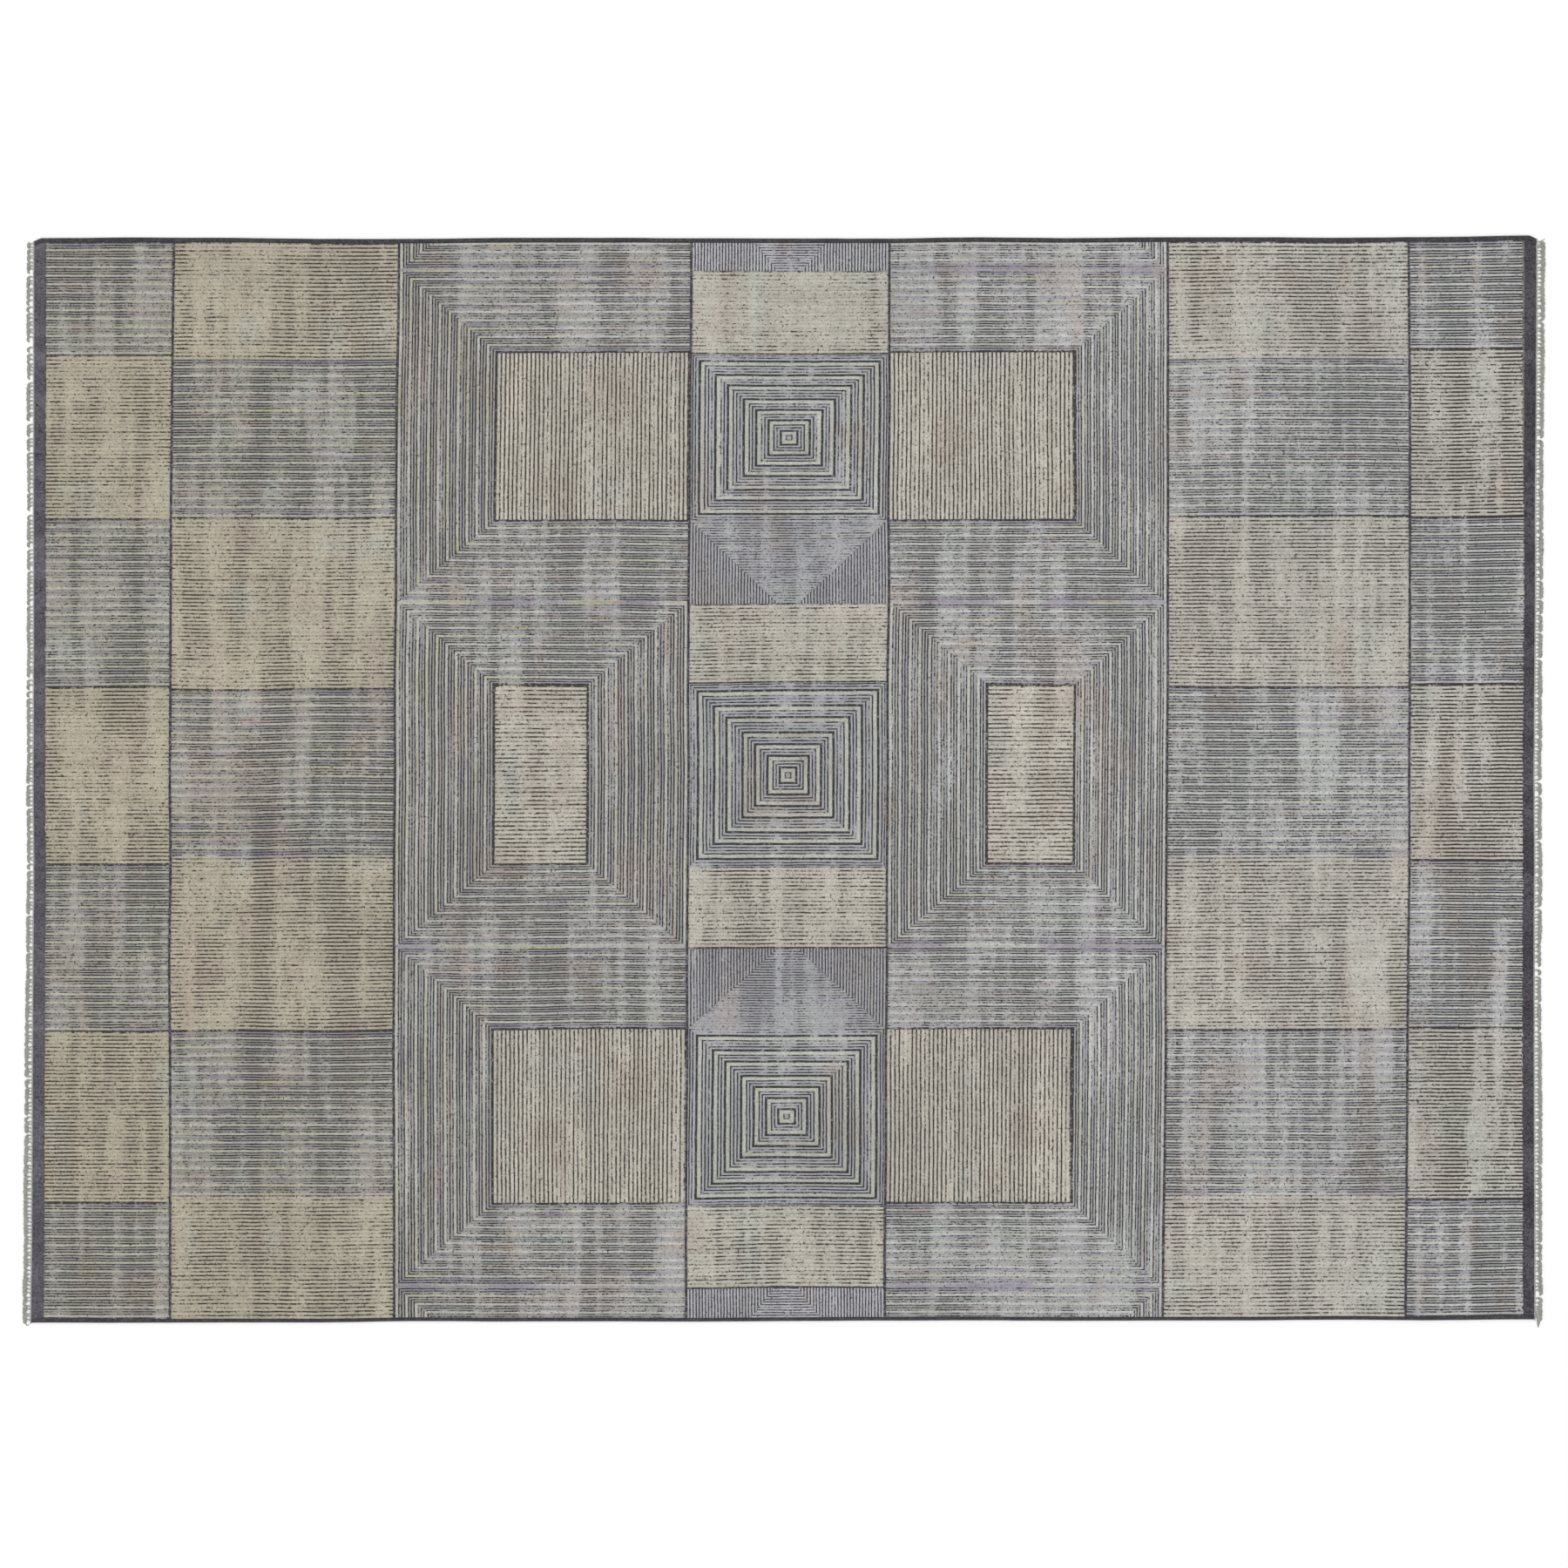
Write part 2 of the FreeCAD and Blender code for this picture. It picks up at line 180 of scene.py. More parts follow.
# Places that are worn pale or kept dark: their middle, their reach along and across the rug, and how
# much darker the rows get.
PLACES = (
    (550, 1390, 300, 130, -0.35),
    (700, -1390, 430, 130, -0.5),
    (700, 1355, 430, 130, -0.2),
    (1414, 964, 330, 220, -0.15),
    (1414, -930, 330, 220, -0.15),
    (0, -345, 270, 130, -0.12),
    (0, 1330, 260, 110, -0.35),
    (1960, 30, 150, 240, 0.25),
    (1908, -120, 22, 180, -0.4),
    (-1960, 1390, 140, 140, 0.22),
    (-955, 520, 140, 130, -0.15),
    (-1896, 500, 130, 200, -0.12),
    (1960, -1100, 150, 380, -0.08),
)

# What stays of a row where it has worn palest.
FADED = 0.2


# ---------------------------------------------------------------- noise


def smoothstep(low, high, value):
    """0 below low, 1 above high and a smooth slope between."""
    part = np.clip((value - low) / (high - low), 0, 1)
    return part * part * (3 - 2 * part)


def blend(first, second, share):
    """Colours between two, with the second's share given per point."""
    return first * (1 - share[:, None]) + second * share[:, None]


class SmoothNoise:
    """Seeded value noise from -1 to 1, with cells of the given size in millimetres."""

    def __init__(self, cell_x, cell_y, seed):
        self.cell = (cell_x, cell_y)
        self.reach = HALF_LENGTH + 200
        counts = [int(2 * self.reach / cell) + 3 for cell in self.cell]
        self.values = np.random.default_rng(seed).uniform(-1, 1, counts)

    def __call__(self, x, y):
        column = (x + self.reach) / self.cell[0]
        row = (y + self.reach) / self.cell[1]
        i = np.floor(column).astype(int)
        j = np.floor(row).astype(int)
        a = smoothstep(0, 1, column - i)
        b = smoothstep(0, 1, row - j)
        near = self.values[i, j] * (1 - a) + self.values[i + 1, j] * a
        far = self.values[i, j + 1] * (1 - a) + self.values[i + 1, j + 1] * a
        return near * (1 - b) + far * b


# Cells along x and y, and a seed. The dashes, spells and tints have them along and across the rows.
streaks = SmoothNoise(20, 260, 11)
zones = SmoothNoise(58, 420, 12)
blotches = SmoothNoise(120, 110, 13)
dashes = SmoothNoise(13, 3.6, 14)
wear = SmoothNoise(300, 260, 15)
tint_one = SmoothNoise(130, 9, 16)
tint_two = SmoothNoise(170, 7, 17)
shade = SmoothNoise(45, 60, 18)
wobble = SmoothNoise(34, 14, 19)
patches = SmoothNoise(75, 150, 22)
ragged = SmoothNoise(6, 6, 23)
spells = SmoothNoise(240, 3.6, 24)
drift_x = SmoothNoise(330, 260, 20)
drift_y = SmoothNoise(260, 330, 21)


def settle(points):
    """Moves points as the rug really lies: its corners aren't square and its edges wave.

    The parts are the ends' slant and bulge, the sides' shift and narrowing, their swing near the
    edges, and the far corners' bevel.
    """
    x, y = points[:, 0], points[:, 1]
    u, v = x / HALF_LENGTH, y / HALF_WIDTH
    moved = points.copy()
    bulge = 10 * u * (1 - u**8) - 5 * u**9
    moved[:, 0] += v * (7.5 - 4 * u**2) + (1 - v**2) * bulge + 1.8 * drift_x(x, y)
    moved[:, 1] += 2.75 * (1 + u) - v * (3.25 + 0.75 * u) + 2.6 * drift_y(x, y)
    moved[:, 1] += (1.2 + 3.4 * u**4) * smoothstep(0.6, 1.0, v) - 4.6 * smoothstep(0.9, 0.985, -v)
    moved[:, 1] -= 10 * smoothstep(HALF_LENGTH - 44, HALF_LENGTH - 16, np.abs(x)) * smoothstep(0.95, 1.0, v)
    return moved


# ---------------------------------------------------------------- meshes


def make_object(name, points, faces, colours, darkness, material, nodes, uv=None):
    """A smooth piece of the rug from points in millimetres, with its yarn colour and darkness per point."""
    mesh = bpy.data.meshes.new(name)
    sizes = np.concatenate([np.full(len(group), group.shape[1]) for group in faces])
    corners = np.concatenate([group.ravel() for group in faces])
    starts = np.concatenate([[0], np.cumsum(sizes)[:-1]])
    mesh.vertices.add(len(points))
    mesh.vertices.foreach_set("co", (settle(points) * MM).astype(np.float32).ravel())
    mesh.loops.add(len(corners))
    mesh.loops.foreach_set("vertex_index", corners.astype(np.int32))
    mesh.polygons.add(len(sizes))
    mesh.polygons.foreach_set("loop_start", starts.astype(np.int32))
    mesh.update(calc_edges=True)
    mesh.validate()
    mesh.polygons.foreach_set("use_smooth", np.ones(len(mesh.polygons), bool))
    rgba = np.concatenate([colours, np.ones((len(points), 1))], axis=1).astype(np.float32)
    mesh.attributes.new("yarn", "FLOAT_COLOR", "POINT").data.foreach_set("color", rgba.ravel())
    mesh.attributes.new("dark", "FLOAT", "POINT").data.foreach_set("value", darkness.astype(np.float32))
    if uv is not None:
        layer = mesh.uv_layers.new(name="OFBake")
        indices = np.empty(len(mesh.loops), np.int32)
        mesh.loops.foreach_get("vertex_index", indices)
        layer.uv.foreach_set("vector", uv[indices].astype(np.float32).ravel())
    mesh.materials.append(material)
    piece = bpy.data.objects.new(name, mesh)
    bpy.context.scene.collection.objects.link(piece)
    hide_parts(*nodes)
    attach(piece, "root")
    return piece


# ---------------------------------------------------------------- fields of pile


class Sector:
    """Part of a field whose rows all run along one axis.

    run is "x" or "y". edges are where the courses across it start and end, rising, and kinds says what
    each course is. low and high give the sector's ends along the rows at a place across them. crop, if
    given, keeps only the courses between two places across.
    """

    def __init__(self, run, style, edges, kinds, low, high, crop=None):
        self.run, self.style = run, style
        self.edges, self.kinds = edges, kinds
        self.low, self.high = low, high
        self.crop = crop or (edges[0], edges[-1])


def times_in(pattern, span):
    """How many times a pattern repeats in a span, at least once."""
    return max(1, round(span / sum(width for width, _ in REPEATS[pattern])))


def courses(pattern, origin, end, count=None, first=None):
    """Edges and kinds of a pattern repeated from origin to end, a whole number of times."""
    count = count or times_in(pattern, abs(end - origin))
    courses_in = ([first] if first else []) + REPEATS[pattern] * count
    widths = np.array([width for width, _ in courses_in])
    edges = origin + (end - origin) * np.concatenate([[0], np.cumsum(widths)]) / widths.sum()
    kinds = [kind for _, kind in courses_in]
    if end < origin:
        return edges[::-1], kinds[::-1]
    return edges, kinds


def line_through(t0, v0, t1, v1):
    """The straight edge that passes v0 at t0 and v1 at t1."""
    return lambda t: v0 + (t - t0) * (v1 - v0) / (t1 - t0)


def level(value):
    """A straight edge square to the rows."""
    return lambda t: np.full(np.shape(t), float(value))


def uneven(value):
    """An edge square to the rows, a little ragged, more so where the pile meets the kilim."""

    def edge(t):
        wander = ragged(np.full(np.shape(t), float(value)), t)
        if value > PILE_END - 1:
            far = smoothstep(600, 1300, t)
            return value - 0.5 - 8.0 * far + (3.4 + 3.6 * far) * wander
        if value < 1 - PILE_END:
            return value + 2.6 - 1.2 * t / HALF_WIDTH + 3.0 * wander
        return value + 0.9 * wander

    return edge


def stations(sector):
    """Where the relief changes across the rows: places, the course each is in, and its height from 0 to 1."""
    places, course, height = [], [], []
    for number, kind in enumerate(sector.kinds):
        start, stop = sector.edges[number], sector.edges[number + 1]
        soft = min(SOFT_EDGE, (stop - start) / 4)
        if kind in ("row", "bold"):
            inside = [(start + soft, 0.0), (stop - soft, 0.0)]
        elif stop - start > 5:
            inside = [(start + soft, 0.5), ((start + stop) / 2, 1.0), (stop - soft, 0.5)]
        else:
            inside = [(start + soft, 0.6), (stop - soft, 0.6)]
        for place, lift in inside:
            places.append(place)
            course.append(number)
            height.append(lift)
    places = np.array(places)
    places[0], places[-1] = sector.edges[0], sector.edges[-1]
    low, high = sector.crop
    inside = (places > low) & (places < high)
    keep = np.flatnonzero(inside)
    keep = np.concatenate([[max(keep[0] - 1, 0)], keep, [min(keep[-1] + 1, len(places) - 1)]])
    places = np.clip(places[keep], low, high)
    return places, np.array(course)[keep], np.array(height)[keep]


def abrupt(noise):
    """Noise with flatter tops and hollows and steeper sides."""
    return np.clip(1.6 * noise, -1, 1)


def row_darkness(sector, kind, along, across, x, y):
    """How dark a row is at each point along it, from FADED to 1, or a little more at the right end."""
    look = ROWS[sector.style]
    zone = 0.5 * abrupt(streaks(x, y)) + 0.4 * abrupt(zones(x, y)) + 0.45 * blotches(x, y)
    dash = dashes(along, across) + 0.7 * spells(along, across)
    presence = look["presence"] + (0.5 if kind == "bold" else 0)
    if sector.run == "y":
        presence = presence + 0.26
        zone = 0.6 * zone
        dash = 0.9 * dashes(along / 1.6, across) + 1.4 * spells(along / 3, across)
        if sector.style == "chevron":
            presence = presence + 0.4
    end_column = smoothstep(0.84, 0.9, x / HALF_LENGTH)
    zone = zone * (1 + 0.2 * end_column)
    presence = presence + 0.28 * end_column * (1 - 0.5 * np.abs(y / HALF_WIDTH))
    for place_x, place_y, reach_x, reach_y, darker in PLACES:
        distance = ((x - place_x) / reach_x) ** 4 + ((y - place_y) / reach_y) ** 4
        presence = presence + darker * np.exp(-distance)
    strength = smoothstep(0, 1, presence + look["zones"] * zone + look["dashes"] * dash)
    return FADED + (1 - FADED) * strength * (1 + 0.25 * end_column)


def rib_colour(sector, kind, along, across, x, y):
    """The wool's colour at each point along a rib."""
    left, right = WOOLS.get((sector.style, kind), WOOLS[(sector.style, "wide")])
    east = smoothstep(-1.1, 1.1, x / HALF_LENGTH)
    wool = blend(left, right, east)
    amount = TINTS[sector.style] * (1.1 - 0.6 * east)
    faded = smoothstep(-0.84, -0.88, x / HALF_LENGTH) * smoothstep(900, 300, y)
    amount = amount * (1 - 0.7 * faded)
    wool = wool + 0.035 * faded[:, None] * (kind == "narrow")
    first, second = tint_one(along, across), tint_two(along, across)
    if kind == "narrow":
        mixes = [(LILAC, first, 0.3, 0.8), (BLUSH, second, 0.55, 0.9), (TEAL, -second, 0.65, 0.95)]
    else:
        mixes = [(OLIVE, first, 0.25, 0.75), (BLUSH, -second, 0.6, 0.9), (LILAC, second, 0.7, 0.95)]
    for tint, noise, low, high in mixes:
        wool = blend(wool, tint, amount * smoothstep(low, high, noise))
    if sector.run == "x" and sector.style in ("grey", "frame"):
        # The first few courses along a field's edge are often lilac.
        inward = np.minimum(across - sector.edges[0], sector.edges[-1] - across)
        share = 0.7 * smoothstep(18, 10, inward) * smoothstep(-0.1, 0.5, blotches(along, across))
        wool = blend(wool, LILAC, share)
    patch = patches(x, y)
    for tint, noise in ((PALE, patch), (BLUSH, -patch)):
        wool = blend(wool, tint, 0.35 * smoothstep(0.4, 0.9, noise))
    light = 1 + 0.05 * (shade(x, y) - streaks(x, y) - zones(x, y) + wear(x, y)) + 0.09 * second
    light = light + 0.035 * smoothstep(0.15, 0.4, x / HALF_LENGTH)
    return wool * light[:, None]


def sector_mesh(sector, foot, top):
    """Points, faces, colours and darkness of one sector, closed all round, and which points are on top."""
    places, course, lift = stations(sector)
    ends = np.array([sector.low(places), sector.high(places)])
    first, last = ends[0].min(), ends[1].max()
    steps = max(2, math.ceil((last - first) / ALONG_STEP))
    along = np.linspace(first, last, steps + 1)

    count = len(sector.kinds)
    darkness = np.zeros((count, len(along)))
    colour = np.zeros((count, len(along), 3))
    middle = (sector.edges[:-1] + sector.edges[1:]) / 2
    for number, kind in enumerate(sector.kinds):
        across = np.full(len(along), middle[number])
        x, y = (along, across) if sector.run == "x" else (across, along)
        if kind in ("row", "bold"):
            darkness[number] = row_darkness(sector, kind, along, across, x, y)
            neighbour = sector.kinds[number - 1] if number else "wide"
            colour[number] = rib_colour(sector, neighbour, along, across, x, y)
        else:
            colour[number] = rib_colour(sector, kind, along, across, x, y)

    rows, cols = len(places), len(along)
    spread = np.clip(along[None, :], ends[0][:, None], ends[1][:, None])
    grid_across = np.repeat(places[:, None], cols, axis=1)
    grid_dark = darkness[course]
    grid_colour = colour[course]
    wave = wobble(spread, grid_across)
    inner = (grid_across > places[0] + 1) & (grid_across < places[-1] - 1)
    shifted = grid_across + ROW_SWAY * wave * inner
    height = top - RIB_CROWN * (1 - lift[:, None]) - GROOVE_DEPTH * grid_dark - ROW_RIPPLE * (1 + wave)
    x, y = (spread, shifted) if sector.run == "x" else (shifted, spread)
    points = np.stack([x, y, height], axis=2).reshape(-1, 3)

    # Points beyond a slanting end fall together on it, so each row keeps only one of them there.
    first_kept = np.maximum((along[None, :] <= ends[0][:, None]).sum(1) - 1, 0)
    last_kept = np.minimum(cols - (along[None, :] >= ends[1][:, None]).sum(1), cols - 1)
    last_kept = np.maximum(last_kept, first_kept)
    number = np.clip(np.arange(cols)[None, :], first_kept[:, None], last_kept[:, None])
    index = number + np.arange(rows)[:, None] * cols

    a, b = index[:-1, :-1].ravel(), index[:-1, 1:].ravel()
    c, d = index[1:, 1:].ravel(), index[1:, :-1].ravel()
    full = (a != b) & (c != d)
    lower = (a != b) & (c == d)
    upper = (a == b) & (c != d)
    quads = np.stack([a, b, c, d], axis=1)[full]
    triangles = np.concatenate([np.stack([a, b, c], axis=1)[lower], np.stack([a, c, d], axis=1)[upper]])

    # The rim runs round the sector once. Its copy at the foot of the pile carries the walls.
    near = index[0, first_kept[0] : last_kept[0] + 1]
    far = index[-1, first_kept[-1] : last_kept[-1] + 1][::-1]
    right = index[1:-1, -1]
    left = index[1:-1, 0][::-1]
    rim = np.concatenate([near, right, far, left])
    rim = rim[np.concatenate([[True], rim[1:] != rim[:-1]])]
    under = points[rim].copy()
    under[:, 2] = foot
    base = len(points) + np.arange(len(rim))
    walls = np.stack([np.roll(rim, -1), rim, base, np.roll(base, -1)], axis=1)
    floor = base[::-1][None, :]
    groups = [quads, triangles, walls, floor]
    if sector.run == "y":
        groups = [group[:, ::-1] for group in groups]
    points = np.concatenate([points, under])
    colours = np.concatenate([grid_colour.reshape(-1, 3), grid_colour.reshape(-1, 3)[rim]])
    dark = np.concatenate([grid_dark.ravel(), grid_dark.ravel()[rim]])
    used = np.unique(np.concatenate([group.ravel() for group in groups]))
    renumber = np.zeros(len(points), int)
    renumber[used] = np.arange(len(used))
    groups = [renumber[group] for group in groups if len(group)]
    is_top = used < rows * cols
    return points[used], groups, colours[used], dark[used], is_top


def join(parts):
    """Several (points, faces) as one."""
    points, faces, offset = [], [], 0
    for part_points, part_faces in parts:
        points.append(part_points)
        faces.extend(group + offset for group in part_faces)
        offset += len(part_points)
    return np.concatenate(points), faces


def make_field(name, nodes, sectors, slot):
    """One piece of pile made of its sectors, each standing on the ground weave."""
    low, high = box_mm(nodes[0])
    parts = [sector_mesh(sector, low[2], high[2]) for sector in sectors]
    points, faces = join([part[:2] for part in parts])
    colours, dark, tops = (np.concatenate(values) for values in list(zip(*parts))[2:])
    flat = (points[:, :2] - points[:, :2].min(0)) / np.ptp(points[:, :2], axis=0)
    uv = np.where(tops[:, None], flat * [0.97, 1.0], flat * [0.01, 1.0] + [0.985, 0.0])
    return make_object(name, points, faces, colours, dark, pile_wools[slot], nodes, uv)


# ---------------------------------------------------------------- the patterns of the fields


def plain_field(low, high, style, run="x", border=True, pattern=None):
    """A field of rows from side to side, with a dark row along its lower edge."""
    axis = 1 if run == "x" else 0
    first = (4.4, "bold") if border else None
    edges, kinds = courses(pattern or style, low[axis], high[axis], first=first)
    return [Sector(run, style, edges, kinds, uneven(low[1 - axis]), uneven(high[1 - axis]))]


def frame_field(low, high, block_low, block_high):
    """Rows that go round a block in nested corners, out to the lines where the frames meet."""
    gap_far, gap_near = high[1] - block_high[1], block_low[1] - low[1]
    reach = min(gap_far, gap_near)
    count = times_in("frame", reach)
    outline = (3.6, "bold")
    sides = []
    if block_low[0] - low[0] > 1:
        sides.append((block_low[0], low[0]))
    if high[0] - block_high[0] > 1:
        sides.append((block_high[0], high[0]))
    sectors = []

    def end_at(inner, outer, side):
        """The slanting end of the rows above or below the block, or a straight one with no frame there."""
        for corner, edge in sides:
            if (corner < edge) == (side > 0):
                return line_through(inner, corner, outer, edge)
        return level(high[0] if side > 0 else low[0])

    for block_edge, direction, room in ((block_high[1], 1, gap_far), (block_low[1], -1, gap_near)):
        meeting = block_edge + direction * reach
        edges, kinds = courses("frame", block_edge, meeting, count, outline)
        left, right = end_at(block_edge, meeting, -1), end_at(block_edge, meeting, 1)
        sectors.append(Sector("x", "frame", edges, kinds, left, right))
        if room - reach < 1:
            continue
        # Beyond the meeting line the pattern is that of a next frame, cut off by the rug's edge.
        next_block = meeting + direction * reach
        cut = block_edge + direction * room
        crop = (min(meeting, cut), max(meeting, cut))
        edges, kinds = courses("frame", next_block, meeting, count, outline)
        kinds[0 if direction > 0 else -1] = "narrow"
        left, right = end_at(next_block, meeting, -1), end_at(next_block, meeting, 1)
        sectors.append(Sector("x", "frame", edges, kinds, left, right, crop))
        for corner, edge in sides:
            edges, kinds = courses("frame", corner, edge, count, outline)
            slope = line_through(edge, meeting, corner, next_block)
            reached = edge + (corner - edge) * (room - reach) / reach
            crop = (min(edge, reached), max(edge, reached))
            below, above = (slope, level(cut)) if direction > 0 else (level(cut), slope)
            sectors.append(Sector("y", "frame", edges, kinds, below, above, crop))

    for corner, edge in sides:
        edges, kinds = courses("frame", corner, edge, count, outline)
        below = line_through(corner, block_low[1], edge, block_low[1] - reach)
        above = line_through(corner, block_high[1], edge, block_high[1] + reach)
        sectors.append(Sector("y", "frame", edges, kinds, below, above))
    return sectors


def squares_field(low, high):
    """Nested rectangles, as four triangles of rows that meet in the middle."""
    middle = (low + high) / 2
    sectors = []
    for axis, run in ((1, "x"), (0, "y")):
        other = 1 - axis
        for outer in (low[axis], high[axis]):
            edges, kinds = courses("squares", outer, middle[axis])
            below = line_through(outer, low[other], middle[axis], middle[other])
            above = line_through(outer, high[other], middle[axis], middle[other])
            sectors.append(Sector(run, "squares", edges, kinds, below, above))
    return sectors


def chevron_field(low, high, style, wide_side, wide, narrow):
    """Level rows in a trapezium, with upright rows on both sides of it.

    wide_side is 1 if the trapezium is widest at the top. wide and narrow are its half-widths there and
    at the other end.
    """
    middle = (low[0] + high[0]) / 2
    start, stop = (high[1], low[1]) if wide_side > 0 else (low[1], high[1])
    edges, kinds = courses("level", start, stop)
    left = line_through(start, middle - wide, stop, middle - narrow)
    right = line_through(start, middle + wide, stop, middle + narrow)
    sectors = [Sector("x", style, edges, kinds, left, right)]
    for side, outer in ((-1, low[0]), (1, high[0])):
        inner = middle + side * narrow
        corner = middle + side * wide
        edges, kinds = courses("upright", outer, inner)
        slant = line_through(corner, start, inner, stop)

        def far_end(t, slant=slant, side=side, corner=corner):
            return np.where(side * (t - corner) > 0, start, slant(t))

        below, above = (level(stop), far_end) if wide_side > 0 else (far_end, level(stop))
        sectors.append(Sector("y", style, edges, kinds, below, above))
    return sectors


# ---------------------------------------------------------------- materials


class Nodes:
    """A short way to write a material's node tree."""

    def __init__(self, name):
        self.material = bpy.data.materials.new(name)
        self.material.use_nodes = True
        self.tree = self.material.node_tree
        self.shader = self.tree.nodes["Principled BSDF"]

    def node(self, kind, inputs=None, **settings):
        """A new node. inputs maps a socket's name or number to a value or to another socket."""
        made = self.tree.nodes.new(kind)
        for key, value in settings.items():
            setattr(made, key, value)
        for key, value in (inputs or {}).items():
            if isinstance(value, bpy.types.NodeSocket):
                self.tree.links.new(value, made.inputs[key])
            else:
                made.inputs[key].default_value = value
        return made

    def math(self, operation, a, b):
        """The output of a Math node."""
        return self.node("ShaderNodeMath", {0: a, 1: b}, operation=operation).outputs[0]

    def vector(self, operation, inputs):
        """The output of a Vector Math node."""
        return self.node("ShaderNodeVectorMath", inputs, operation=operation).outputs[0]

    def spread(self, value, low, high, to_low=0.0, to_high=1.0, smooth=False):
        """value mapped from one range to another and held there."""
        return self.node(
            "ShaderNodeMapRange",
            {0: value, 1: low, 2: high, 3: to_low, 4: to_high},
            interpolation_type="SMOOTHSTEP" if smooth else "LINEAR",
        ).outputs[0]

    def noise(self, vector, scale, detail):
        """Noise of the given scale, per metre."""
        inputs = {"Vector": vector, "Scale": scale, "Detail": detail}
        return self.node("ShaderNodeTexNoise", inputs).outputs[0]

    def mix(self, share, a, b, mode="MIX"):
        """The colour output of a Mix node."""
        made = self.node("ShaderNodeMix", data_type="RGBA", blend_type=mode)
        for socket, value in ((made.inputs[0], share), (made.inputs[6], a), (made.inputs[7], b)):
            if isinstance(value, bpy.types.NodeSocket):
                self.tree.links.new(value, socket)
            else:
                socket.default_value = value
        return made.outputs[2]

    def link(self, socket, name):
        """Joins a socket to one of the shader's inputs."""
        self.tree.links.new(socket, self.shader.inputs[name])


def wool_material(name, dark, knot=KNOT, speck=0.9, grain=0.45, clumps=0.4, sheen=0.2, bump=0.5):
    """Knotted wool: each knot takes its own share of light or dark yarn, and its tuft stands up.

    speck is how far knots differ in that share. grain and clumps are how far the light yarn's
    brightness varies from knot to knot and over about a centimetre.
    """
    nodes = Nodes(name)
    place = nodes.node("ShaderNodeTexCoord").outputs["Object"]
    stray = nodes.node("ShaderNodeTexNoise", {"Vector": place, "Scale": 160.0, "Detail": 1.0})
    bent = nodes.vector("SUBTRACT", {0: stray.outputs["Color"], 1: (0.5, 0.5, 0.5)})
    nudge = nodes.vector("SCALE", {0: bent, "Scale": KNOT_STRAY * MM})
    loose = nodes.vector("ADD", {0: place, 1: nudge})
    cell = nodes.vector("SNAP", {0: loose, 1: (knot * MM, knot * MM, 1.0)})
    chance = nodes.node("ShaderNodeTexWhiteNoise", {"Vector": cell}).outputs[0]

    yarn_colour = nodes.node("ShaderNodeAttribute", attribute_name="yarn").outputs["Color"]
    darkness = nodes.node("ShaderNodeAttribute", attribute_name="dark").outputs["Fac"]
    clump = nodes.noise(place, 120.0, 2.0)
    tilt = nodes.math("MULTIPLY", nodes.math("SUBTRACT", chance, 0.5), speck)
    bunch = nodes.spread(clump, 0.25, 0.75, -0.5 * speck, 0.5 * speck)
    mixed = nodes.math("ADD", nodes.math("ADD", darkness, tilt), bunch)
    share = nodes.spread(mixed, 0.12, 0.88, smooth=True)

    fibre = nodes.noise(place, 1100.0, 3.0)
    tuft = nodes.noise(place, 330.0, 1.0)
    by_fibre = nodes.spread(fibre, 0.25, 0.75, 1 - grain / 3, 1 + grain / 3)
    by_knot = nodes.spread(chance, 0.0, 1.0, -grain / 2, grain / 2)
    by_clump = nodes.spread(clump, 0.25, 0.75, -clumps / 2, clumps / 2)
    light = nodes.math("ADD", nodes.math("ADD", by_fibre, by_knot), by_clump)
    grey = nodes.node("ShaderNodeCombineColor", {0: light, 1: light, 2: light}).outputs[0]
    lit = nodes.mix(1.0, yarn_colour, grey, "MULTIPLY")
    colour = nodes.mix(share, lit, (*dark, 1.0))
    nodes.link(colour, "Base Color")

    nodes.link(nodes.spread(fibre, 0.2, 0.8, 0.82, 0.98), "Roughness")
    nodes.shader.inputs["Sheen Weight"].default_value = sheen
    nodes.shader.inputs["Sheen Roughness"].default_value = 0.6
    nodes.shader.inputs["Specular IOR Level"].default_value = 0.2
    knots = nodes.node("ShaderNodeTexVoronoi", {"Vector": loose, "Scale": 1 / (knot * MM)})
    relief = nodes.math("SUBTRACT", nodes.math("ADD", fibre, tuft), knots.outputs["Distance"])
    bumped = nodes.node("ShaderNodeBump", {"Strength": bump, "Distance": 1.0 * MM, "Height": relief})
    nodes.link(bumped.outputs[0], "Normal")
    return nodes.material


pile_wools = {
    "sand_wool": wool_material("sand_pile", yarn(62, 54, 50)),
    "grey_wool": wool_material("grey_pile", yarn(57, 59, 56)),
    "silver_wool": wool_material("silver_pile", yarn(54, 57, 57), speck=0.8),
    "blue_grey_wool": wool_material("blue_grey_pile", yarn(70, 70, 78)),
}
charcoal_wool = wool_material("charcoal_kilim", yarn(50, 47, 53), knot=2.6, speck=1.1, grain=0.8, clumps=0.9)
dark_line_wool = wool_material("dark_line_knots", yarn(48, 45, 50), grain=0.3)
warp_cotton = wool_material(
    "warp_ends", yarn(112, 113, 103), knot=2.0, speck=0.6, grain=0.2, clumps=0.2, sheen=0.1
)
ground_cotton = wool_material("ground_backs", yarn(84, 80, 84), grain=0.2, bump=0.8)


# ---------------------------------------------------------------- the pile


